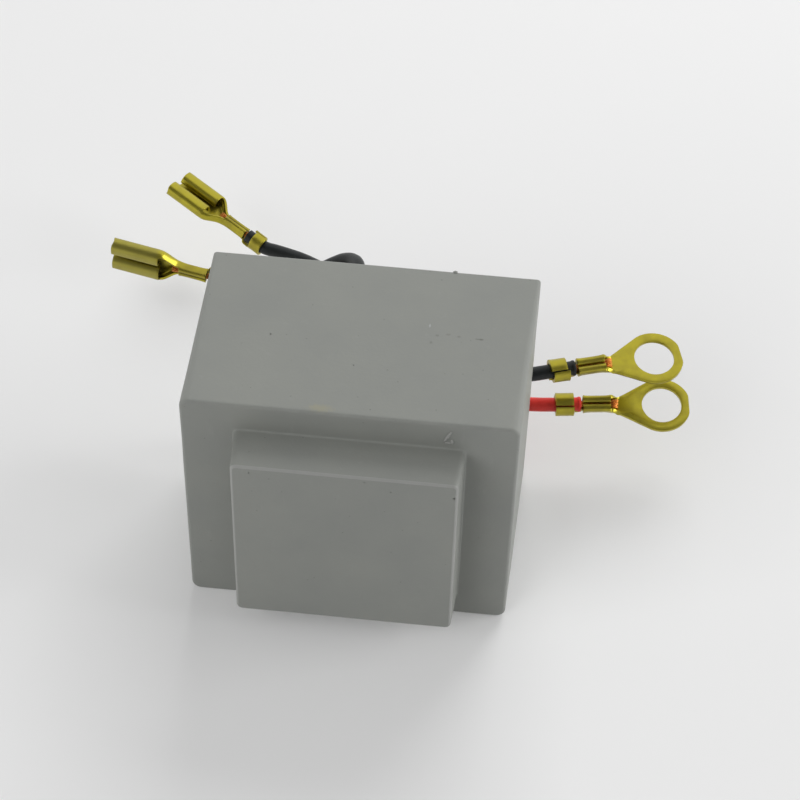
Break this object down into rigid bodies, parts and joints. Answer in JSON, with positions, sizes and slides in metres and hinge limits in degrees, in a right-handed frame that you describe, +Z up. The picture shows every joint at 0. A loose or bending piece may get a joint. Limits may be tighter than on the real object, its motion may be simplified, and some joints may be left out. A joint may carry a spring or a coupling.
{
  "type": "potted transformer",
  "caption": "Small mains transformer cast in a grey resin block with a raised boss over its coil, with push-on primary leads and ring-ended secondary leads.",
  "frame": {"origin": "middle of the block's and boss's footprint, on the face it stands on", "axes": "+X to the right seen from the boss, +Y from the boss to the pour face that the leads leave, +Z up"},
  "size_m": [0.0985, 0.0909, 0.0445],
  "materials": {
    "resin": "cast, satin",
    "core_steel": "oxidised sheet",
    "bobbin": "moulded",
    "enamelled_copper": "enamelled",
    "tape": "film",
    "tinned_metal": "tinned",
    "black_insulation": "satin",
    "red_insulation": "satin",
    "bare_copper": "bright",
    "terminal_brass": "stamped"
  },
  "bodies": {
    "root": {"resin_block": "resin", "e_laminations": "core_steel", "i_laminations": "core_steel", "bobbin": "bobbin", "primary_winding": "enamelled_copper", "winding_barrier": "tape", "secondary_winding": "enamelled_copper", "coil_tape": "tape", "solder_tags": "tinned_metal", "solder_joints": "tinned_metal", "primary_lead_a": "black_insulation", "primary_lead_b": "black_insulation", "secondary_lead_black": "black_insulation", "secondary_lead_red": "red_insulation", "primary_strands_a": "bare_copper", "primary_strands_b": "bare_copper", "secondary_strands_black": "bare_copper", "secondary_strands_red": "bare_copper", "push_on_terminal_a": "terminal_brass", "push_on_terminal_b": "terminal_brass", "ring_terminal_black": "terminal_brass", "ring_terminal_red": "terminal_brass"}
  },
  "joints": []
}
